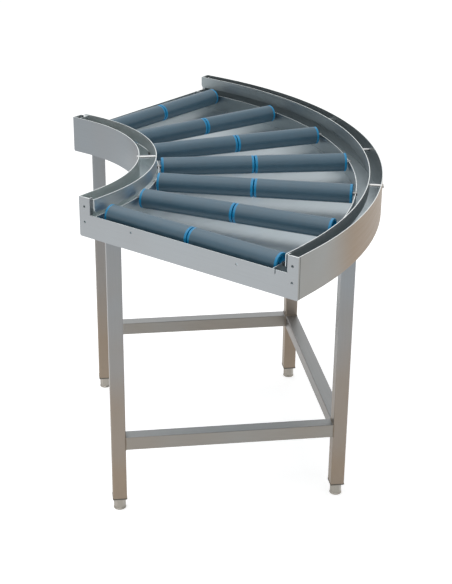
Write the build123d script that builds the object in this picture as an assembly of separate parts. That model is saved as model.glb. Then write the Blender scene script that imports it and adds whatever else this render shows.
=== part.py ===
from build123d import *
import math
import os

# Curved gravity roller table: a 90 degree bend with seven roller stations on four legs. The
# first station lies in the front straight run, the other six are radial.
# Every piece is laid out about the bend centre on the floor. The front end plate faces -Y and
# the back end plate faces -X. The finished model is moved so that the middle of its footprint
# on the floor is the origin. All sizes are in millimetres.

# Rail and tray, radii measured from the bend centre
inner_skirt_radius = 437.0      # face of the inner skirt towards the bend centre
inner_channel_width = 48.5      # from the skirt to the lane face of the inner guide wall
lane_width = 563.0              # between the lane faces of the two guide walls
outer_channel_width = 35.5      # from the outer lane face to the outside of the outer skirt
sheet = 2.0                     # skirts, guide walls, end plates and tray floor
front_straight = 64.0           # straight run past the bend to the outside of the front end plate
back_straight = 51.0            # the same at the back end plate
table_height = 900.0            # top edge of skirts and guide walls
rail_depth = 103.0              # height of the skirts
floor_rise = 14.0               # tray floor above the lower edge of the skirts
guide_height = 34.0
guide_corner_radius = 9.0

# Roller carriers, the slotted walls that hold the axles
carrier_sheet = 2.0
inner_carrier_inset = 4.5       # inner carrier from the lane face of its guide wall
outer_carrier_inset = 32.5      # outer carrier from the lane face of its guide wall
carrier_above_axle = 3.0        # top edge of the carriers above the axle centre
slot_clearance = 0.2
slot_lead_in = 2.5

# Rollers, two halves on each axle
station_count = 7
front_axle_past_bend = 22.0     # the front axle lies in the straight run, in line with the end plate
last_station_setback = 1.7      # degrees short of the end of the bend
station_pitch = 15.0            # degrees
roller_slides = [9.0, 9.0, 4.0, 3.0, 0.0, 0.0, 0.0]  # each roller's slide outwards along its axle
roller_diameter = 50.0
tube_wall = 2.8
roller_start_gap = 2.4          # from the inner carrier to the first end cap
roller_middle_gap = 2.6         # between the two halves
roller_end_gap = 11.0           # from the last end cap to the outer carrier
axle_drop = 44.0                # axle centre below the top edge of the table
axle_diameter = 10.0
axle_flat_width = 8.0
axle_overhang = 3.0             # past the far side of each carrier
axle_clearance = 0.05
flat_run_out = 0.3              # flats reach this far past the lane side of the carriers
cap_flange = 6.5
cap_spigot = 16.0
cap_wall = 2.6
cap_recess = 3.6
cap_hub_wall = 3.6
cap_rib = 1.6
cap_rib_count = 6
cap_chamfer = 0.8
spacer_diameter = 16.0
side_play = 0.3

# End plates
notch_depth = 43.0
inner_post_width = 34.0
outer_post_width = 30.0
post_flange = 12.0              # depth of the return along the notch side of each post
post_bend_radius = 3.0
plate_corner_radius = 5.0
relief_width = 2.5
relief_depth = 11.0
relief_offset = 7.5             # relief slot past the outer carrier
joining_hole = 6.5
post_hole_top = 24.0            # upper joining hole below the top edge
post_hole_spacing = 40.0
sill_hole_drop = 14.0           # sill joining holes below the notch
sill_hole_spacing = 315.0

# Ties that hold each guide wall to its skirt
tie_drop = 20.0
inner_tie_angles = [45.0]
outer_tie_angles = [28.5, 45.0, 61.5]
tie_diameter = 6.0
tie_sleeve_diameter = 9.0
seat_gap = 0.05                 # flat seats stop this far short of the curved sheet
tie_nut_width = 10.0
tie_nut_height = 4.0
web_height = 24.0
web_drop = 5.0                  # end web below the top edge of the guide wall

# Leg frame, a rectangle in line with the bisector of the bend
leg_tube = 38.0
leg_wall = 1.5
leg_corner_radius = 3.0
inner_leg_inset = 58.5          # inner leg centre from the inner skirt, along the end plate
outer_leg_inset = 74.0          # outer leg centre from the outside of the outer skirt
top_plate_gap = 0.8             # corner of the nearest top plate to the end plate
top_plate_length = 74.0
top_plate_thickness = 3.0
stretcher_top = 225.0
tray_stud_diameter = 6.0
tray_stud_hole = 6.5
tray_stud_leg_gap = 7.5         # stud centre from the side of the leg
tray_stud_end = 1.5             # thread past the nut
tray_nut_width = 10.0
tray_nut_height = 5.0

# Levelling feet
foot_height = 33.0              # floor to the underside of the tube insert
foot_base_diameter = 34.0
foot_base_height = 6.0
foot_hex_width = 28.0
foot_edge = 1.2
foot_play = 0.3
stud_diameter = 12.0
stud_length = 52.0
stud_clearance = 0.05
insert_flange = 3.5
insert_overhang = 0.75
insert_depth = 28.0
insert_clearance = 0.1

# Sizes worked out from the values above
inner_guide_radius = inner_skirt_radius + inner_channel_width
outer_guide_radius = inner_guide_radius + lane_width
outer_skirt_radius = outer_guide_radius + outer_channel_width
rail_bottom = table_height - rail_depth
floor_top = rail_bottom + floor_rise
floor_bottom = floor_top - sheet
guide_bottom = table_height - guide_height
notch_height = table_height - notch_depth
tie_height = table_height - tie_drop
axle_height = table_height - axle_drop
inner_carrier_radius = inner_guide_radius + inner_carrier_inset
outer_carrier_radius = outer_guide_radius - outer_carrier_inset
carrier_top = axle_height + carrier_above_axle
roller_radius = roller_diameter / 2
axle_radius = axle_diameter / 2
roller_start = inner_carrier_radius + carrier_sheet + roller_start_gap
roller_end = outer_carrier_radius - roller_end_gap
roller_half_length = (roller_end - roller_start - roller_middle_gap) / 2
roller_middle = roller_start + roller_half_length
roller_second_start = roller_middle + roller_middle_gap
axle_start = inner_carrier_radius - axle_overhang
axle_end = outer_carrier_radius + carrier_sheet + axle_overhang
leg_bottom = foot_height + insert_flange
leg_top = floor_bottom - top_plate_thickness
plate_half_diagonal = (top_plate_length + leg_tube) / (2 * math.sqrt(2))
inner_leg_past_bend = min(front_straight, back_straight) - sheet - top_plate_gap - plate_half_diagonal
inner_leg_radius = inner_skirt_radius + inner_leg_inset
inner_legs_out = (inner_leg_radius - inner_leg_past_bend) / math.sqrt(2)
half_across = (inner_leg_radius + inner_leg_past_bend) / math.sqrt(2)
outer_leg_radius = outer_skirt_radius - outer_leg_inset
outer_legs_out = math.sqrt(outer_leg_radius**2 - half_across**2)
first_angle = 90 - last_station_setback - station_pitch * (station_count - 1)
bend_stations = [Rot(0, 0, first_angle + station_pitch * i) for i in range(1, station_count)]
stations = [Pos(0, -front_axle_past_bend, 0)] + bend_stations
footprint_x = (outer_skirt_radius - back_straight) / 2
footprint_y = (outer_skirt_radius - front_straight) / 2
back_mirror = Plane(origin=(0, 0, 0), z_dir=(1, -1, 0))


def save(name, *solids):
    """Move one node's solids to the footprint origin and write them as one file."""
    placed = [Pos(-footprint_x, -footprint_y, 0) * solid for solid in solids]
    body = placed[0] if len(placed) == 1 else Compound(children=placed)
    export_step(body, f"parts/{name}.step")


def bend_wall(inner, outer, bottom, height, front_end, back_end):
    """A sheet wall that follows the bend, with its straight run at both ends."""
    outline = [
        Line((inner, -front_end), (outer, -front_end)),
        Line((outer, -front_end), (outer, 0)),
        CenterArc((0, 0), outer, 0, 90),
        Line((0, outer), (-back_end, outer)),
        Line((-back_end, outer), (-back_end, inner)),
        Line((-back_end, inner), (0, inner)),
        CenterArc((0, 0), inner, 0, 90),
        Line((inner, 0), (inner, -front_end)),
    ]
    return extrude(Pos(0, 0, bottom) * make_face(outline), height)


def between_plates(inner, outer, bottom, height, gap=0.0):
    """A bend wall that stops against the inside of both end plates, or a gap short of them."""
    front_end = front_straight - sheet - gap
    back_end = back_straight - sheet - gap
    return bend_wall(inner, outer, bottom, height, front_end, back_end)


def outwards(station, radius, height):
    """Place on the axis of a station, with local Z pointing outwards along it."""
    return station * Pos(radius, 0, height) * Rot(0, 90, 0)


def skirt(inner, holes):
    wall = between_plates(inner, inner + sheet, rail_bottom, rail_depth)
    for angle in holes:
        hole = Cylinder(tie_diameter / 2, 4 * sheet)
        wall -= outwards(Rot(0, 0, angle), inner + sheet / 2, tie_height) * hole
    return wall


def guide_wall(inner):
    """Upper wall beside the lane, with its lower corners rounded where it meets the posts."""
    wall = between_plates(inner, inner + sheet, guide_bottom, guide_height)
    front_corner = wall.edges().filter_by(Axis.X).group_by(Axis.Y)[0].sort_by(Axis.Z)[0]
    wall = fillet(front_corner, guide_corner_radius)
    back_corner = wall.edges().filter_by(Axis.Y).group_by(Axis.X)[0].sort_by(Axis.Z)[0]
    return fillet(back_corner, guide_corner_radius)


def roller_carrier(inner):
    """Wall on the tray floor with one open slot for each axle, its mouth widened by a lead-in."""
    wall = between_plates(inner, inner + carrier_sheet, floor_top, carrier_top - floor_top)
    slot_bottom = axle_height - axle_radius
    half_slot = axle_flat_width / 2 + slot_clearance
    half_mouth = half_slot + slot_lead_in
    slot = make_face(Polyline(
        (-half_slot, slot_bottom),
        (half_slot, slot_bottom),
        (half_slot, carrier_top - slot_lead_in),
        (half_mouth, carrier_top),
        (-half_mouth, carrier_top),
        (-half_slot, carrier_top - slot_lead_in),
        close=True,
    ))
    cutter = extrude(Plane.YZ * slot, carrier_sheet * 2, both=True)
    for station in stations:
        wall -= station * Pos(inner + carrier_sheet / 2, 0, 0) * cutter
    return wall


def tray_floor():
    return between_plates(inner_skirt_radius + sheet, outer_skirt_radius - sheet, floor_bottom, sheet)


def post_section(side, notch):
    """Plan of one post: the plate from its outer side to the notch, and the return folded back."""
    inwards = 1 if side > notch else -1
    section = make_face(Polyline(
        (side, 0),
        (notch, 0),
        (notch, post_flange),
        (notch + inwards * sheet, post_flange),
        (notch + inwards * sheet, sheet),
        (side, sheet),
        close=True,
    ))
    outside = section.vertices().sort_by_distance((notch, 0, 0))[0]
    section = fillet(outside, post_bend_radius)
    inside = section.vertices().sort_by_distance((notch + inwards * sheet, sheet, 0))[0]
    return fillet(inside, post_bend_radius - sheet)


def end_plate(distance):
    """Folded end plate across the front end: a sill with a post at each side of the notch."""
    middle = (inner_skirt_radius + outer_skirt_radius) / 2
    sill_height = notch_height - rail_bottom
    sill = Rectangle(outer_skirt_radius - inner_skirt_radius, sill_height)
    corner = sill.vertices().group_by(Axis.X)[0].sort_by(Axis.Y)[0]
    sill = Pos(middle, rail_bottom + sill_height / 2) * fillet(corner, plate_corner_radius)
    relief_at = outer_carrier_radius + relief_offset
    sill -= Pos(relief_at, notch_height - relief_depth / 2) * Rectangle(relief_width, relief_depth)
    plate = extrude(Plane.XZ * sill, -sheet)
    upper_hole = table_height - post_hole_top
    holes = []
    for side, width in ((inner_skirt_radius, inner_post_width), (outer_skirt_radius, -outer_post_width)):
        plate += Pos(0, 0, notch_height) * extrude(post_section(side, side + width), notch_depth)
        holes += [(side + width / 2, upper_hole), (side + width / 2, upper_hole - post_hole_spacing)]
    for shift in (-sill_hole_spacing / 2, sill_hole_spacing / 2):
        holes.append((middle + shift, notch_height - sill_hole_drop))
    for x, height in holes:
        plate -= Pos(x, 0, height) * Rot(90, 0, 0) * Cylinder(joining_hole / 2, 4 * sheet)
    return Pos(0, -distance, 0) * plate


def end_web(inner, outer, distance):
    """Flat web across the channel that carries the end of a guide wall behind a post."""
    web = Box(outer - inner, sheet, web_height, align=(Align.MIN, Align.MIN, Align.MAX))
    return Pos(inner, -distance + post_flange, table_height - web_drop) * web


def end_webs(inner, outer):
    front = end_web(inner, outer, front_straight)
    back = mirror(end_web(inner, outer, back_straight), about=back_mirror)
    return [front, back]


def tie_parts(angle, guide_back, skirt_face):
    """Stud welded to the back of a guide wall, its spacer sleeve, and the nut outside the skirt."""
    span = abs(skirt_face - guide_back)
    place = outwards(Rot(0, 0, angle), guide_back, tie_height)
    if skirt_face < guide_back:
        place = place * Rot(180, 0, 0)
    stud_length = span - seat_gap + tie_nut_height
    stud = Cylinder(tie_diameter / 2, stud_length, align=(Align.CENTER, Align.CENTER, Align.MIN))
    ring = Circle(tie_sleeve_diameter / 2) - Circle(tie_diameter / 2)
    sleeve = extrude(ring, span - sheet - 2 * seat_gap)
    nut_outline = RegularPolygon(tie_nut_width / 2, 6, major_radius=False)
    nut = extrude(nut_outline, tie_nut_height)
    nut = chamfer(nut.faces().sort_by(Axis.Z)[-1].edges(), tie_nut_height / 5)
    nut -= Cylinder(tie_diameter / 2, 3 * tie_nut_height)
    lift = place * Pos(0, 0, seat_gap)
    return lift * stud, lift * sleeve, place * Pos(0, 0, span + seat_gap) * nut


def roller_tube(station, start):
    length = roller_half_length - 2 * cap_flange
    ring = Circle(roller_radius) - Circle(roller_radius - tube_wall)
    tube = extrude(ring, length)
    return outwards(station, start + cap_flange, axle_height) * tube


def end_cap():
    """Plastic bearing cap: flange, recessed face with ribs, hub and spigot, outside face at z = 0."""
    bore = axle_radius + axle_clearance
    hub = bore + cap_hub_wall
    spigot = roller_radius - tube_wall
    shell = spigot - cap_wall
    cap_length = cap_flange + cap_spigot
    profile = make_face(Polyline(
        (bore, 0),
        (hub, 0),
        (hub, cap_recess),
        (shell, cap_recess),
        (shell, 0),
        (roller_radius - cap_chamfer, 0),
        (roller_radius, cap_chamfer),
        (roller_radius, cap_flange),
        (spigot, cap_flange),
        (spigot, cap_length),
        (bore, cap_length),
        close=True,
    ))
    cap = revolve(Plane.XZ * profile, Axis.Z)
    rib_length = shell - hub + cap_wall / 2
    rib = Box(rib_length, cap_rib, cap_recess, align=(Align.MIN, Align.CENTER, Align.MIN))
    rib_start = hub - cap_hub_wall / 4
    for i in range(cap_rib_count):
        cap += Rot(0, 0, 360 / cap_rib_count * i) * Pos(rib_start, 0, 0) * rib
    return cap


def cap_pair(station, start, cap):
    near = outwards(station, start, axle_height) * cap
    far = outwards(station, start + roller_half_length, axle_height) * Rot(180, 0, 0) * cap
    return [near, far]


def axle(station):
    """Round axle with two milled flats at each end that stop it turning in the carrier slots."""
    bar = Cylinder(axle_radius, axle_end - axle_start, align=(Align.CENTER, Align.CENTER, Align.MIN))
    cheek = (axle_radius - axle_flat_width / 2) * 2
    flat_length = axle_overhang + carrier_sheet + flat_run_out
    for end in (0, axle_end - axle_start - flat_length):
        for side in (-1, 1):
            y = side * (axle_flat_width / 2 + cheek / 2)
            block = Box(axle_diameter, cheek, flat_length, align=(Align.CENTER, Align.CENTER, Align.MIN))
            bar -= Pos(0, y, end) * block
    return outwards(station, axle_start, axle_height) * bar


def axle_spacer(station, slide):
    """Loose ring on the axle that keeps the two halves of a roller apart."""
    ring = Circle(spacer_diameter / 2) - Circle(axle_radius)
    spacer = extrude(ring, roller_middle_gap - 2 * side_play)
    return outwards(station, roller_middle + slide + side_play, axle_height) * spacer


def on_bisector(out, across):
    """Place on the floor, with local X along the bisector of the bend."""
    return Rot(0, 0, 45) * Pos(out, across, 0)


leg_places = {
    "front_inner": on_bisector(inner_legs_out, -half_across),
    "back_inner": on_bisector(inner_legs_out, half_across),
    "front_outer": on_bisector(outer_legs_out, -half_across),
    "back_outer": on_bisector(outer_legs_out, half_across),
}


def tube_section():
    inside = leg_tube - 2 * leg_wall
    outside = RectangleRounded(leg_tube, leg_tube, leg_corner_radius)
    return outside - RectangleRounded(inside, inside, leg_corner_radius - leg_wall)


def leg(place):
    return place * Pos(0, 0, leg_bottom) * extrude(tube_section(), leg_top - leg_bottom)


def stretcher(start, across, length, turn):
    """Square tube between two leg faces, lying on the bisector frame."""
    tube = extrude(tube_section(), length)
    lying = Rot(0, 90, 0) * tube
    return on_bisector(start, across) * Rot(0, 0, turn) * Pos(0, 0, stretcher_top - leg_tube / 2) * lying


def stud_offsets():
    reach = leg_tube / 2 + tray_stud_leg_gap
    return [Pos(-reach, 0, 0), Pos(reach, 0, 0)]


def tray_stud_places():
    return [place * offset for place in leg_places.values() for offset in stud_offsets()]


def leg_top_plate(place):
    """Strap welded across the top of a leg, as wide as the leg, with a hole for each stud."""
    plate = RectangleRounded(top_plate_length, leg_tube, leg_corner_radius)
    for offset in stud_offsets():
        plate -= offset * Circle(tray_stud_hole / 2)
    return place * Pos(0, 0, leg_top) * extrude(plate, top_plate_thickness)


def tray_stud(place):
    """Threaded stud welded to the underside of the tray floor."""
    length = top_plate_thickness + tray_nut_height + tray_stud_end
    shank = Cylinder(tray_stud_diameter / 2, length, align=(Align.CENTER, Align.CENTER, Align.MAX))
    return place * Pos(0, 0, floor_bottom) * shank


def tray_nut(place):
    outline = RegularPolygon(tray_nut_width / 2, 6, major_radius=False) - Circle(tray_stud_diameter / 2)
    return place * Pos(0, 0, leg_top - tray_nut_height) * extrude(outline, tray_nut_height)


def leg_insert(place):
    """Threaded insert pushed into the end of a leg, with a square flange that closes the tube."""
    flange_side = leg_tube + 2 * insert_overhang
    flange = extrude(RectangleRounded(flange_side, flange_side, leg_corner_radius), insert_flange)
    flange = chamfer(flange.faces().sort_by(Axis.Z)[0].outer_wire().edges(), insert_flange / 3)
    plug_side = leg_tube - 2 * leg_wall - 2 * insert_clearance
    plug = extrude(RectangleRounded(plug_side, plug_side, leg_wall), insert_depth)
    body = flange + Pos(0, 0, insert_flange) * plug
    body -= Cylinder(stud_diameter / 2 + stud_clearance, 4 * insert_depth)
    return place * Pos(0, 0, foot_height) * body


def levelling_foot(place):
    """Round base, hexagon body and threaded stud that screws into the leg insert."""
    base_radius = foot_base_diameter / 2
    base = make_face(Polyline(
        (0, 0),
        (base_radius - foot_edge, 0),
        (base_radius, foot_edge),
        (base_radius, foot_base_height / 2),
        (foot_hex_width / 2, foot_base_height),
        (0, foot_base_height),
        close=True,
    ))
    foot = revolve(Plane.XZ * base, Axis.Z)
    body_top = foot_height - foot_play
    hexagon = extrude(RegularPolygon(foot_hex_width / 2, 6, major_radius=False), body_top - foot_base_height)
    foot += Pos(0, 0, foot_base_height) * hexagon
    stud = Cylinder(stud_diameter / 2, stud_length, align=(Align.CENTER, Align.CENTER, Align.MIN))
    stud = chamfer(stud.edges().group_by(Axis.Z)[-1], foot_edge)
    foot += Pos(0, 0, body_top) * stud
    return place * foot


os.makedirs("parts", exist_ok=True)

inner_guide_back = inner_guide_radius - sheet
save("tray_floor", tray_floor())
save("inner_skirt", skirt(inner_skirt_radius, inner_tie_angles))
save("outer_skirt", skirt(outer_skirt_radius - sheet, outer_tie_angles))
save("inner_guide_wall", guide_wall(inner_guide_back))
save("outer_guide_wall", guide_wall(outer_guide_radius))
save("inner_roller_carrier", roller_carrier(inner_carrier_radius))
save("outer_roller_carrier", roller_carrier(outer_carrier_radius))
save("front_end_plate", end_plate(front_straight))
save("back_end_plate", mirror(end_plate(back_straight), about=back_mirror))
save("inner_guide_end_webs", *end_webs(inner_skirt_radius + sheet, inner_guide_back))
save("outer_guide_end_webs", *end_webs(outer_guide_radius + sheet, outer_skirt_radius - sheet))

ties = [tie_parts(a, inner_guide_back, inner_skirt_radius) for a in inner_tie_angles]
ties += [tie_parts(a, outer_guide_radius + sheet, outer_skirt_radius) for a in outer_tie_angles]
save("tie_studs", *[tie[0] for tie in ties])
save("tie_sleeves", *[tie[1] for tie in ties])
save("tie_nuts", *[tie[2] for tie in ties])

bearing_cap = end_cap()
for number, (station, slide) in enumerate(zip(stations, roller_slides), start=1):
    for half, start in (("inner", roller_start + slide), ("outer", roller_second_start + slide)):
        save(f"roller_{number}_{half}_tube", roller_tube(station, start))
        save(f"roller_{number}_{half}_caps", *cap_pair(station, start, bearing_cap))
save("roller_axles", *[axle(station) for station in stations])
save("axle_spacers", *[axle_spacer(station, slide) for station, slide in zip(stations, roller_slides)])

for name, place in leg_places.items():
    save(f"{name}_leg", leg(place))
    save(f"{name}_foot", levelling_foot(place))
half_tube = leg_tube / 2
side_length = outer_legs_out - inner_legs_out - leg_tube
cross_length = 2 * half_across - leg_tube
save("front_stretcher", stretcher(inner_legs_out + half_tube, -half_across, side_length, 0))
save("back_stretcher", stretcher(inner_legs_out + half_tube, half_across, side_length, 0))
save("outer_stretcher", stretcher(outer_legs_out, -half_across + half_tube, cross_length, 90))
save("leg_top_plates", *[leg_top_plate(place) for place in leg_places.values()])
save("leg_inserts", *[leg_insert(place) for place in leg_places.values()])
save("tray_studs", *[tray_stud(place) for place in tray_stud_places()])
save("tray_nuts", *[tray_nut(place) for place in tray_stud_places()])
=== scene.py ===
import math
import bpy
from mathutils import Matrix, Vector


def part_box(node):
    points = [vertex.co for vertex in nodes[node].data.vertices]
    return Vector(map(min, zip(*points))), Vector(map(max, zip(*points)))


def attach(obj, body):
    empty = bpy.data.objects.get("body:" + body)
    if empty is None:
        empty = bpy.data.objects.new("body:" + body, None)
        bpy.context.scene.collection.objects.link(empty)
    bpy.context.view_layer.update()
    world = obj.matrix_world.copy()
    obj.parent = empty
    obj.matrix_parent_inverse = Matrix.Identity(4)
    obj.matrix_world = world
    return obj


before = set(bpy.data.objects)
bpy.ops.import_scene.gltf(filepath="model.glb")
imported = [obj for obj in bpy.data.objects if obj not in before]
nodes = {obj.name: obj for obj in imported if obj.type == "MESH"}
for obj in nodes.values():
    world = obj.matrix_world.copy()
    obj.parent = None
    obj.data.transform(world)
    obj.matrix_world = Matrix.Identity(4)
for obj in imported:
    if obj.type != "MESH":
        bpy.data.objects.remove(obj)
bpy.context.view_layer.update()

# Camera
# It stands in front and to the right of the table, a little above the rollers, where the
# photograph was taken. The picture is 452 by 584 pixels.
camera_place = Vector((1.9866, -2.7434, 1.9522))
camera_azimuth = math.radians(36.65)
camera_elevation = math.radians(23.68)
camera_roll = math.radians(0.66)
focal_pixels = 1287.0
picture_height_pixels = 584
film_height_mm = 36.0
camera_data = bpy.data.cameras.new("camera")
camera_data.sensor_width = film_height_mm
camera_data.lens = focal_pixels * film_height_mm / picture_height_pixels
camera_data.clip_end = 40.0
camera = bpy.data.objects.new("camera", camera_data)
turn = Matrix.Rotation(camera_azimuth, 4, "Z")
turn = turn @ Matrix.Rotation(math.pi / 2 - camera_elevation, 4, "X")
turn = turn @ Matrix.Rotation(camera_roll, 4, "Z")
camera.matrix_world = Matrix.Translation(camera_place) @ turn
bpy.context.scene.collection.objects.link(camera)
bpy.context.scene.camera = camera
bpy.context.scene.view_settings.view_transform = "Standard"


# Floor and backdrop
# A plain white studio floor that runs out of sight. It keeps the soft shadow of the legs, and
# the white round it is what the stainless steel reflects.
def hex_linear(code):
    """The linear colour of an sRGB hex value."""
    parts = [int(code[i:i + 2], 16) / 255 for i in (1, 3, 5)]
    linear = [p / 12.92 if p <= 0.04045 else ((p + 0.055) / 1.055) ** 2.4 for p in parts]
    return (*linear, 1.0)


def add(tree, kind, settings=None, links=None):
    """Add one node. Settings name its attributes or inputs, and links feed its inputs."""
    node = tree.nodes.new(kind)
    for name, value in (settings or {}).items():
        if isinstance(name, str) and hasattr(node, name):
            setattr(node, name, value)
        else:
            node.inputs[name].default_value = value
    for name, source in (links or {}).items():
        tree.links.new(source, node.inputs[name])
    return node


def new_material(name):
    """An empty node material and its node tree."""
    material = bpy.data.materials.new(name)
    material.use_nodes = True
    material.node_tree.nodes.clear()
    return material, material.node_tree


def white_for_eye_and_gloss(tree):
    """1 where the camera, a reflection or a refraction looks at the surface, else 0."""
    path = add(tree, "ShaderNodeLightPath")
    seen = add(tree, "ShaderNodeMath", {"operation": "MAXIMUM"},
               {0: path.outputs["Is Camera Ray"], 1: path.outputs["Is Glossy Ray"]})
    return add(tree, "ShaderNodeMath", {"operation": "MAXIMUM"},
               {0: seen.outputs[0], 1: path.outputs["Is Transmission Ray"]})


floor_colour = hex_linear("#F7F7F7")
floor_lift = 0.6
floor_size = 30.0
bpy.ops.mesh.primitive_plane_add(size=floor_size, location=(0, 0, 0))
floor = bpy.context.object
floor.name = "studio_floor"
material, tree = new_material("white_studio_floor")
seen = white_for_eye_and_gloss(tree)
lift = add(tree, "ShaderNodeMath", {"operation": "MULTIPLY", 1: floor_lift}, {0: seen.outputs[0]})
glow = add(tree, "ShaderNodeEmission", {"Color": (1, 1, 1, 1)}, {"Strength": lift.outputs[0]})
matt = add(tree, "ShaderNodeBsdfDiffuse", {"Color": floor_colour})
both = add(tree, "ShaderNodeAddShader", links={0: matt.outputs[0], 1: glow.outputs[0]})
add(tree, "ShaderNodeOutputMaterial", links={"Surface": both.outputs[0]})
floor.data.materials.append(material)

# Light
# Soft studio light: an even pale room, and one wide panel overhead to the left of the camera
# that gives the rollers their bright upper side.
room_level = 0.45
world = bpy.data.worlds.new("studio_room")
bpy.context.scene.world = world
world.use_nodes = True
tree = world.node_tree
tree.nodes.clear()
seen = white_for_eye_and_gloss(tree)
level = add(tree, "ShaderNodeMapRange", {"To Min": room_level, "To Max": 1.0}, {"Value": seen.outputs[0]})
room = add(tree, "ShaderNodeBackground", {"Color": (1, 1, 1, 1)}, {"Strength": level.outputs[0]})
add(tree, "ShaderNodeOutputWorld", links={"Surface": room.outputs[0]})

panel_data = bpy.data.lights.new("overhead_panel", "AREA")
panel_data.shape = "RECTANGLE"
panel_data.size = 4.6
panel_data.size_y = 3.6
panel_data.energy = 62.0
panel = bpy.data.objects.new("overhead_panel", panel_data)
panel.location = (-0.6, -0.5, 3.4)
tray_middle = Vector((0, 0, 0.9))
panel.rotation_euler = (tray_middle - panel.location).to_track_quat("-Z", "Y").to_euler()
bpy.context.scene.collection.objects.link(panel)


# Tray sheets
# Laser-cut and folded stainless sheet: the two skirts and guide walls follow the bend, the end
# plates close it. The brushed grain runs along each sheet and bends with it. Upward faces, the cut
# edges among them, carry a painted highlight, and the faces that look into the tray and its lanes
# carry painted light and shade. The warm patch on the front of the outer skirt is a painted
# reflection; the other warm and cool tones vary at random.
outer_skirt_radius = 1.084
skirt_far_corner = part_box("outer_skirt")[1]
bend_centre = Vector((skirt_far_corner[0] - outer_skirt_radius, skirt_far_corner[1] - outer_skirt_radius, 0))
streak_width_mm = 3.0           # true brush lines are 0.2 mm, drawn wider so that they show
streak_length_mm = 130.0
patch_size_mm = 260.0


def grain_along_bend(tree):
    """Coordinates in metres: along the bend, outwards and up."""
    coords = add(tree, "ShaderNodeTexCoord")
    local = add(tree, "ShaderNodeVectorMath", {"operation": "SUBTRACT", 1: bend_centre},
                {0: coords.outputs["Object"]})
    parts = add(tree, "ShaderNodeSeparateXYZ", links={0: local.outputs[0]})
    angle = add(tree, "ShaderNodeMath", {"operation": "ARCTAN2"}, {0: parts.outputs[1], 1: parts.outputs[0]})
    flat = add(tree, "ShaderNodeVectorMath", {"operation": "MULTIPLY", 1: (1, 1, 0)}, {0: local.outputs[0]})
    out = add(tree, "ShaderNodeVectorMath", {"operation": "LENGTH"}, {0: flat.outputs[0]})
    return add(tree, "ShaderNodeCombineXYZ",
               links={0: angle.outputs[0], 1: out.outputs["Value"], 2: parts.outputs[2]})


def grain_along_line(tree, direction):
    """Coordinates in metres, turned so that X runs along the given direction."""
    coords = add(tree, "ShaderNodeTexCoord")
    turn = Vector(direction).to_track_quat("X", "Z").to_euler()
    return add(tree, "ShaderNodeMapping", {"vector_type": "TEXTURE", "Rotation": turn},
               {0: coords.outputs["Object"]})


def warm_share_by(axis, cool_at, warm_at):
    """A fade from the cool to the warm tone along one axis, in metres."""
    def fade(tree):
        coords = add(tree, "ShaderNodeTexCoord")
        parts = add(tree, "ShaderNodeSeparateXYZ", links={0: coords.outputs["Object"]})
        return add(tree, "ShaderNodeMapRange", {"interpolation_type": "SMOOTHSTEP", "From Min": cool_at,
                                                "From Max": warm_at}, {"Value": parts.outputs[axis]})
    return fade


def warm_share_near(axis, middle, warm_within, cool_beyond):
    """Warm tone round one place along an axis and cool tone away from it, in metres."""
    def fade(tree):
        coords = add(tree, "ShaderNodeTexCoord")
        parts = add(tree, "ShaderNodeSeparateXYZ", links={0: coords.outputs["Object"]})
        offset = add(tree, "ShaderNodeMath", {"operation": "SUBTRACT", 1: middle}, {0: parts.outputs[axis]})
        away = add(tree, "ShaderNodeMath", {"operation": "ABSOLUTE"}, {0: offset.outputs[0]})
        return add(tree, "ShaderNodeMapRange", {"interpolation_type": "SMOOTHSTEP", "From Min": cool_beyond,
                                                "From Max": warm_within}, {"Value": away.outputs[0]})
    return fade


def looks_along(direction):
    """1 on the faces that look the given way, else 0."""
    def mask(tree):
        surface = add(tree, "ShaderNodeNewGeometry")
        along = add(tree, "ShaderNodeVectorMath", {"operation": "DOT_PRODUCT", 1: direction},
                    {0: surface.outputs["True Normal"]})
        return add(tree, "ShaderNodeMath", {"operation": "GREATER_THAN", 1: 0.2}, {0: along.outputs["Value"]})
    return mask


def looks_outwards(sign):
    """1 on the faces that look away from the bend centre, or towards it where sign is -1."""
    def mask(tree):
        coords = add(tree, "ShaderNodeTexCoord")
        local = add(tree, "ShaderNodeVectorMath", {"operation": "SUBTRACT", 1: bend_centre},
                    {0: coords.outputs["Object"]})
        flat = add(tree, "ShaderNodeVectorMath", {"operation": "MULTIPLY", 1: (sign, sign, 0)},
                   {0: local.outputs[0]})
        surface = add(tree, "ShaderNodeNewGeometry")
        out = add(tree, "ShaderNodeVectorMath", {"operation": "DOT_PRODUCT"},
                  {0: flat.outputs[0], 1: surface.outputs["True Normal"]})
        return add(tree, "ShaderNodeMath", {"operation": "GREATER_THAN", 1: 0.0}, {0: out.outputs["Value"]})
    return mask


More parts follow.
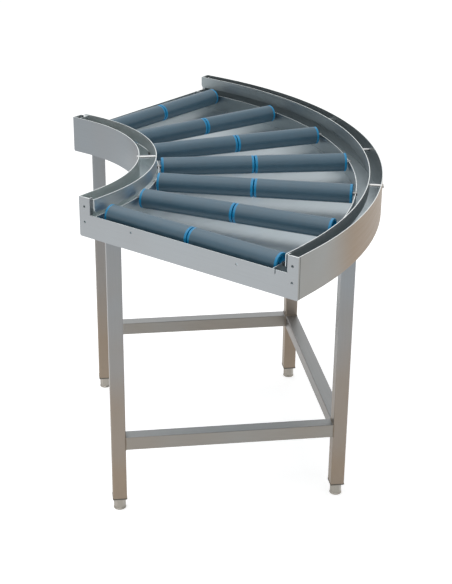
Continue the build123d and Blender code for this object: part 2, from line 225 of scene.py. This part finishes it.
def brushed_stainless(name, grain, cool, warm, fade=None, warm_share=0.4, rough=(0.36, 0.5), relief=0.04,
                      painted_top_highlight="#E2E6E6", inside=None, seam=None):
    """Brushed stainless steel: streaks of lighter and darker metal along the grain.

    Upward faces get a painted highlight tone. Inside gives a mask and the painted light and shade
    tone of the faces that it marks, and seam gives the mask of a dark hairline.
    """
    material, tree = new_material(name)
    place = grain(tree)
    fine = (1000 / streak_length_mm, 1000 / streak_width_mm, 1000 / streak_width_mm)
    stretched = add(tree, "ShaderNodeVectorMath", {"operation": "MULTIPLY", 1: fine}, {0: place.outputs[0]})
    streaks = add(tree, "ShaderNodeTexNoise", {"Scale": 1.0, "Detail": 5.0, "Roughness": 0.62},
                  {"Vector": stretched.outputs[0]})
    patches = add(tree, "ShaderNodeTexNoise", {"Scale": 1000 / patch_size_mm, "Detail": 2.0},
                  {"Vector": place.outputs[0]})
    blotch = add(tree, "ShaderNodeMapRange",
                 {"From Min": 0.3, "From Max": 0.7, "To Min": -0.25, "To Max": 0.25},
                 {"Value": patches.outputs[0]})
    tint = add(tree, "ShaderNodeMath", {"operation": "ADD", "use_clamp": True, 1: warm_share},
               {0: blotch.outputs[0]})
    if fade:
        tree.links.new(fade(tree).outputs[0], tint.inputs[1])
    colour = add(tree, "ShaderNodeMix", {"data_type": "RGBA", 6: hex_linear(cool), 7: hex_linear(warm)},
                 {0: tint.outputs[0]})
    sided = add(tree, "ShaderNodeMix", {"data_type": "RGBA", 0: 0.0}, {6: colour.outputs[2]})
    if inside:
        mask, painted_inside_tone = inside
        sided.inputs[7].default_value = hex_linear(painted_inside_tone)
        tree.links.new(mask(tree).outputs[0], sided.inputs[0])
    shade = add(tree, "ShaderNodeMapRange",
                {"From Min": 0.3, "From Max": 0.7, "To Min": 0.95, "To Max": 1.05},
                {"Value": streaks.outputs[0]})
    tone = add(tree, "ShaderNodeVectorMath", {"operation": "SCALE"},
               {0: sided.outputs[2], "Scale": shade.outputs[0]})
    metal = tone.outputs[0]
    if seam:
        lined = add(tree, "ShaderNodeMix", {"data_type": "RGBA", 7: hex_linear("#3F4243")},
                    {0: seam(tree).outputs[0], 6: metal})
        metal = lined.outputs[2]
    surface = add(tree, "ShaderNodeNewGeometry")
    facing = add(tree, "ShaderNodeSeparateXYZ", links={0: surface.outputs["True Normal"]})
    # Painted highlight: faces that look up take a lighter tone, standing for the light they catch from above.
    on_top = add(tree, "ShaderNodeMath", {"operation": "GREATER_THAN", 1: 0.9}, {0: facing.outputs[2]})
    top_highlighted = add(tree, "ShaderNodeMix", {"data_type": "RGBA", 7: hex_linear(painted_top_highlight)},
                {0: on_top.outputs[0], 6: metal})
    gloss = add(tree, "ShaderNodeMapRange",
                {"From Min": 0.3, "From Max": 0.7, "To Min": rough[0], "To Max": rough[1]},
                {"Value": streaks.outputs[0]})
    bump = add(tree, "ShaderNodeBump", {"Strength": relief, "Distance": 0.0005},
               {"Height": streaks.outputs[0]})
    steel = add(tree, "ShaderNodeBsdfPrincipled", {"Metallic": 1.0},
                {"Base Color": top_highlighted.outputs[2], "Roughness": gloss.outputs[0], "Normal": bump.outputs[0]})
    add(tree, "ShaderNodeOutputMaterial", links={"Surface": steel.outputs[0]})
    return material


def plate_seam(tree):
    """1 on the hairline where the bent edge of an end plate meets the outer skirt, else 0."""
    seam_width = 0.002
    bent_edge = 0.008
    front_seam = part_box("front_end_plate")[0][1] + bent_edge
    back_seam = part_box("back_end_plate")[0][0] + bent_edge
    coords = add(tree, "ShaderNodeTexCoord")
    parts = add(tree, "ShaderNodeSeparateXYZ", links={0: coords.outputs["Object"]})
    front = add(tree, "ShaderNodeMath", {"operation": "COMPARE", 1: front_seam, 2: seam_width / 2},
                {0: parts.outputs[1]})
    back = add(tree, "ShaderNodeMath", {"operation": "COMPARE", 1: back_seam, 2: seam_width / 2},
               {0: parts.outputs[0]})
    return add(tree, "ShaderNodeMath", {"operation": "MAXIMUM"}, {0: front.outputs[0], 1: back.outputs[0]})


def finish(node, material):
    """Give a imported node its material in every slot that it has."""
    mesh = nodes[node].data
    if not mesh.materials:
        mesh.materials.append(material)
    for i in range(len(mesh.materials)):
        mesh.materials[i] = material


# The outer skirt's faces towards the bend centre take a darker painted shade tone, for the shaded lane.
outer_steel = brushed_stainless("brushed_stainless_outer_skirt", grain_along_bend, "#919290", "#8B7A67",
                                # Painted reflection: a warm patch round the front of the outer skirt.
                                warm_share_near(1, -0.10, 0.20, 0.40),
                                inside=(looks_outwards(-1), "#7E8587"), seam=plate_seam)
finish("outer_skirt", outer_steel)
# The inner skirt's faces that look into the tray take a lighter painted light tone.
inner_steel = brushed_stainless("brushed_stainless_inner_skirt", grain_along_bend, "#8B9297", "#8E9092",
                                inside=(looks_outwards(1), "#D5DDDC"))
finish("inner_skirt", inner_steel)
# Faces of the outer guide wall and carrier that look away from the bend centre take a lighter painted light
# tone.
outer_wall_steel = brushed_stainless("brushed_stainless_outer_lane_walls", grain_along_bend,
                                     "#929B9F", "#8D9597", inside=(looks_outwards(1), "#C6CED2"))
finish("outer_guide_wall", outer_wall_steel)
finish("outer_roller_carrier", outer_wall_steel)
# The inner lane walls are painted lighter all over, standing for the light that the walls bounce between
# them.
inner_wall_steel = brushed_stainless("brushed_stainless_inner_lane_walls", grain_along_bend,
                                     "#CDD3D4", "#C6CACA")
finish("inner_guide_wall", inner_wall_steel)
finish("inner_roller_carrier", inner_wall_steel)
# The end plates' faces that look into the tray take a lighter painted light tone.
for end, along, inwards in (("front", (1, 0, 0), (0, 1, 0)), ("back", (0, 1, 0), (1, 0, 0))):
    plate_steel = brushed_stainless(f"brushed_stainless_{end}_plate",
                                    lambda t, d=along: grain_along_line(t, d), "#A2A8AC", "#9EA0A2",
                                    inside=(looks_along(inwards), "#C4CBCC"))
    finish(f"{end}_end_plate", plate_steel)
web_steel = brushed_stainless("brushed_stainless_end_webs", lambda t: grain_along_line(t, (0, 0, 1)),
                              "#B4BBBE", "#AEB2B3")
finish("inner_guide_end_webs", web_steel)
finish("outer_guide_end_webs", web_steel)

# Tray floor
# One flat sheet under the rollers, brushed in line with the back straight. It faces up all
# over, so the painted highlight of its upward faces is simply its own tone.
floor_steel = brushed_stainless("brushed_stainless_tray_floor", lambda t: grain_along_line(t, (0, 1, 0)),
                                "#BBC5CA", "#B7BFC2", rough=(0.3, 0.42), painted_top_highlight="#BBC5CA")
finish("tray_floor", floor_steel)

# Leg frame
# Square stainless tube, brushed along its length, saw-cut and welded. The lower part of the
# legs has a warmer tone than the top, a painted reflection of warm surroundings near the floor.
# The painted highlight tone of the frame's upward faces.
frame_top_highlight = "#9B9C9C"
bisector = (1, 1, 0)
across = (-1, 1, 0)
leg_top_metres = 0.8
# Painted reflection: warmer towards the floor.
leg_painted_reflection = warm_share_by(2, leg_top_metres, 0.0)
leg_steel = brushed_stainless("brushed_stainless_legs", lambda t: grain_along_line(t, (0, 0, 1)),
                              "#8A8E91", "#8D8072", leg_painted_reflection, painted_top_highlight=frame_top_highlight)
for name in ("front_inner_leg", "back_inner_leg", "front_outer_leg", "back_outer_leg"):
    finish(name, leg_steel)
side_steel = brushed_stainless("brushed_stainless_side_stretchers", lambda t: grain_along_line(t, bisector),
                               "#8E9293", "#8B847B", warm_share=0.6, painted_top_highlight=frame_top_highlight)
finish("front_stretcher", side_steel)
finish("back_stretcher", side_steel)
cross_steel = brushed_stainless("brushed_stainless_cross_stretcher", lambda t: grain_along_line(t, across),
                                "#8B8D8E", "#877D74", painted_top_highlight=frame_top_highlight)
finish("outer_stretcher", cross_steel)
finish("leg_top_plates", side_steel)


# Weld beads
# Thin fillet welds run round each stretcher where it meets a leg, and round each leg under its
# top plate. The rippled bead is duller than the tube and tinted straw brown by the heat.
bead_radius = 0.0013
bead_unevenness = 0.00012
tube_corner = 0.003
low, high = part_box("front_inner_leg")
diagonal = high[0] - low[0]                     # the legs stand turned by 45 degrees
tube_side = diagonal / math.sqrt(2) + tube_corner * (2 - math.sqrt(2))
weld_steel, tree = new_material("tig_weld_bead")
ripple_mm = 1.6
coords = add(tree, "ShaderNodeTexCoord")
ripples = add(tree, "ShaderNodeTexVoronoi", {"Scale": 1000 / ripple_mm}, {"Vector": coords.outputs["Object"]})
heat = add(tree, "ShaderNodeTexNoise", {"Scale": 55.0, "Detail": 3.0}, {"Vector": coords.outputs["Object"]})
tint = add(tree, "ShaderNodeMix", {"data_type": "RGBA", 6: hex_linear("#8F8A82"), 7: hex_linear("#7C6A55")},
           {0: heat.outputs[0]})
scales = add(tree, "ShaderNodeBump", {"Strength": 0.7, "Distance": 0.0004}, {"Height": ripples.outputs[0]})
dull = add(tree, "ShaderNodeMapRange", {"To Min": 0.4, "To Max": 0.6}, {"Value": heat.outputs[0]})
steel = add(tree, "ShaderNodeBsdfPrincipled", {"Metallic": 1.0},
            {"Base Color": tint.outputs[2], "Roughness": dull.outputs[0], "Normal": scales.outputs[0]})
add(tree, "ShaderNodeOutputMaterial", links={"Surface": steel.outputs[0]})

bpy.ops.object.select_all(action="DESELECT")
bpy.ops.mesh.primitive_plane_add(size=tube_side, location=(0, 0, 0))
bead = bpy.context.object
bpy.ops.object.mode_set(mode="EDIT")
bpy.ops.mesh.select_all(action="SELECT")
bpy.ops.mesh.bevel(offset=tube_corner, segments=4, affect="VERTICES")
bpy.ops.mesh.select_all(action="SELECT")
bpy.ops.mesh.delete(type="ONLY_FACE")
bpy.ops.mesh.select_all(action="SELECT")
bpy.ops.mesh.subdivide(number_cuts=5)
bpy.ops.object.mode_set(mode="OBJECT")
bpy.ops.object.convert(target="CURVE")
bead.data.bevel_depth = bead_radius
bead.data.bevel_resolution = 2
bpy.ops.object.convert(target="MESH")
bpy.ops.object.mode_set(mode="EDIT")
bpy.ops.mesh.select_all(action="SELECT")
bpy.ops.mesh.remove_doubles(threshold=0.00001)
bpy.ops.mesh.normals_make_consistent(inside=False)
bpy.ops.transform.vertex_random(offset=bead_unevenness, normal=1.0, seed=3)
bpy.ops.object.mode_set(mode="OBJECT")
bpy.ops.object.shade_smooth()
bead.data.materials.clear()
bead.data.materials.append(weld_steel)


def box_middle(node):
    """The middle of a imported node's box."""
    low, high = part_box(node)
    return (Vector(low) + Vector(high)) / 2


def lay_bead(name, place, facing):
    """A copy of the bead round a tube, in the joint's plane, which faces the given way."""
    ring = bead.copy()
    ring.data = bead.data.copy()
    ring.name = name
    bpy.context.scene.collection.objects.link(ring)
    upright = Matrix.Rotation(math.atan2(facing.y, facing.x), 4, "Z") @ Matrix.Rotation(math.pi / 2, 4, "Y")
    turned = Matrix.Rotation(math.pi / 4, 4, "Z")
    ring.matrix_world = Matrix.Translation(place) @ (turned if facing.z > 0.5 else upright)
    bpy.ops.object.select_all(action="DESELECT")
    ring.select_set(True)
    bpy.context.view_layer.objects.active = ring
    bpy.ops.object.transform_apply(location=True, rotation=True, scale=True)
    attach(ring, "frame")


for stretcher, first, second in (("front_stretcher", "front_inner_leg", "front_outer_leg"),
                                 ("back_stretcher", "back_inner_leg", "back_outer_leg"),
                                 ("outer_stretcher", "front_outer_leg", "back_outer_leg")):
    start, end = box_middle(first), box_middle(second)
    height = box_middle(stretcher).z
    along = (end - start).normalized()
    for leg, middle, way in ((first, start, along), (second, end, -along)):
        spot = middle + way * tube_side / 2
        lay_bead(f"weld_{stretcher}_{leg}", Vector((spot.x, spot.y, height)), way)
for leg in ("front_inner_leg", "back_inner_leg", "front_outer_leg", "back_outer_leg"):
    spot = box_middle(leg)
    spot.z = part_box(leg)[1][2] - bead_radius
    lay_bead(f"weld_{leg}_top_plate", spot, Vector((0, 0, 1)))
bpy.data.objects.remove(bead)

# Studs, sleeves, nuts, axles and feet
# Turned and drawn stainless steel, a little brighter than the sheets. The levelling feet screw
# out on a thread of 1.75 mm pitch.
thread_pitch_mm = 1.75
thread_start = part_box("leg_inserts")[0][2]
bright_steel = brushed_stainless("drawn_stainless_rod", lambda t: grain_along_line(t, (0, 0, 1)),
                                 "#BABCBD", "#B2B0AD", rough=(0.25, 0.36), painted_top_highlight="#BABCBD")
for name in ("tie_studs", "tie_sleeves", "tie_nuts", "tray_studs", "tray_nuts"):
    finish(name, bright_steel)
axle_steel = brushed_stainless("drawn_stainless_axles", lambda t: grain_along_line(t, bisector),
                               "#868A8C", "#827F7B", rough=(0.3, 0.42), painted_top_highlight="#868A8C")
finish("roller_axles", axle_steel)
# The feet's upward faces get a slightly lighter painted highlight.
foot_steel = brushed_stainless("turned_stainless_feet", lambda t: grain_along_line(t, (0, 0, 1)),
                               "#A19F99", "#968D82", rough=(0.3, 0.42), painted_top_highlight="#A6A6A4")
tree = foot_steel.node_tree
coords = add(tree, "ShaderNodeTexCoord")
height = add(tree, "ShaderNodeSeparateXYZ", links={0: coords.outputs["Object"]})
turns_per_metre = 1000 / thread_pitch_mm
turns = add(tree, "ShaderNodeMath", {"operation": "MULTIPLY", 1: 2 * math.pi * turns_per_metre},
            {0: height.outputs[2]})
ridge = add(tree, "ShaderNodeMath", {"operation": "SINE"}, {0: turns.outputs[0]})
on_stud = add(tree, "ShaderNodeMath", {"operation": "GREATER_THAN", 1: thread_start}, {0: height.outputs[2]})
thread = add(tree, "ShaderNodeMath", {"operation": "MULTIPLY"}, {0: ridge.outputs[0], 1: on_stud.outputs[0]})
groove = add(tree, "ShaderNodeBump", {"Strength": 0.9, "Distance": 0.0006}, {"Height": thread.outputs[0]})
shader = next(n for n in tree.nodes if n.type == "BSDF_PRINCIPLED")
tree.links.new(groove.outputs[0], shader.inputs["Normal"])
for name in ("front_inner_foot", "back_inner_foot", "front_outer_foot", "back_outer_foot"):
    finish(name, foot_steel)

# Rollers
# Extruded blue-grey PVC tube with faint lengthwise die lines and a satin skin that crates have
# scuffed a little.
station_count = 7


def extruded_plastic(name, direction):
    """Satin PVC with die lines along the given direction and scuffed patches."""
    material, tree = new_material(name)
    die_line_mm = 2.0               # drawn wider than the real lines
    scuff_mm = 45.0
    place = grain_along_line(tree, direction)
    fine = (2.0, 1000 / die_line_mm, 1000 / die_line_mm)
    stretched = add(tree, "ShaderNodeVectorMath", {"operation": "MULTIPLY", 1: fine}, {0: place.outputs[0]})
    lines = add(tree, "ShaderNodeTexNoise", {"Scale": 1.0, "Detail": 3.0}, {"Vector": stretched.outputs[0]})
    scuffs = add(tree, "ShaderNodeTexNoise", {"Scale": 1000 / scuff_mm, "Detail": 6.0, "Roughness": 0.7},
                 {"Vector": place.outputs[0]})
    colour = add(tree, "ShaderNodeMix",
                 {"data_type": "RGBA", 6: hex_linear("#3C5766"), 7: hex_linear("#47687B")},
                 {0: scuffs.outputs[0]})
    gloss = add(tree, "ShaderNodeMapRange", {"From Min": 0.3, "From Max": 0.7, "To Min": 0.3, "To Max": 0.44},
                {"Value": scuffs.outputs[0]})
    bump = add(tree, "ShaderNodeBump", {"Strength": 0.08, "Distance": 0.0003}, {"Height": lines.outputs[0]})
    plastic = add(tree, "ShaderNodeBsdfPrincipled", {"IOR": 1.53},
                  {"Base Color": colour.outputs[2], "Roughness": gloss.outputs[0], "Normal": bump.outputs[0]})
    add(tree, "ShaderNodeOutputMaterial", links={"Surface": plastic.outputs[0]})
    return material


# Bearing caps
# Injection-moulded polypropylene in a bright blue, satin, with the fine mould grain of a
# spark-eroded tool.
def moulded_plastic(name, dark, light, grain_mm, rough, ior):
    """Satin moulded plastic with a fine mould grain and a slightly cloudy colour."""
    material, tree = new_material(name)
    coords = add(tree, "ShaderNodeTexCoord")
    grain = add(tree, "ShaderNodeTexNoise", {"Scale": 1000 / grain_mm, "Detail": 2.0},
                {"Vector": coords.outputs["Object"]})
    cloud = add(tree, "ShaderNodeTexNoise", {"Scale": 60.0, "Detail": 3.0},
                {"Vector": coords.outputs["Object"]})
    colour = add(tree, "ShaderNodeMix", {"data_type": "RGBA", 6: hex_linear(dark), 7: hex_linear(light)},
                 {0: cloud.outputs[0]})
    gloss = add(tree, "ShaderNodeMapRange", {"To Min": rough - 0.06, "To Max": rough + 0.06},
                {"Value": cloud.outputs[0]})
    bump = add(tree, "ShaderNodeBump", {"Strength": 0.1, "Distance": 0.0002}, {"Height": grain.outputs[0]})
    plastic = add(tree, "ShaderNodeBsdfPrincipled", {"IOR": ior},
                  {"Base Color": colour.outputs[2], "Roughness": gloss.outputs[0], "Normal": bump.outputs[0]})
    add(tree, "ShaderNodeOutputMaterial", links={"Surface": plastic.outputs[0]})
    return material


cap_blue = moulded_plastic("moulded_blue_polypropylene", "#007CAE", "#0593C8", 0.8, 0.38, 1.49)
for station in range(1, station_count + 1):
    low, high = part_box(f"roller_{station}_inner_tube")
    far_low, far_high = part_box(f"roller_{station}_outer_tube")
    along = Vector(far_low) + Vector(far_high) - Vector(low) - Vector(high)
    tube_plastic = extruded_plastic(f"extruded_pvc_station_{station}", along.normalized())
    for half in ("inner", "outer"):
        finish(f"roller_{station}_{half}_tube", tube_plastic)
        finish(f"roller_{station}_{half}_caps", cap_blue)

# Spacers and leg inserts
# Small moulded nylon parts: a white ring on each axle and a dark grey plug in each leg's end.
finish("axle_spacers", moulded_plastic("moulded_white_nylon", "#C9C9C4", "#D6D6D2", 0.8, 0.45, 1.53))
finish("leg_inserts", moulded_plastic("moulded_grey_nylon", "#5A5852", "#66635C", 0.8, 0.5, 1.53))
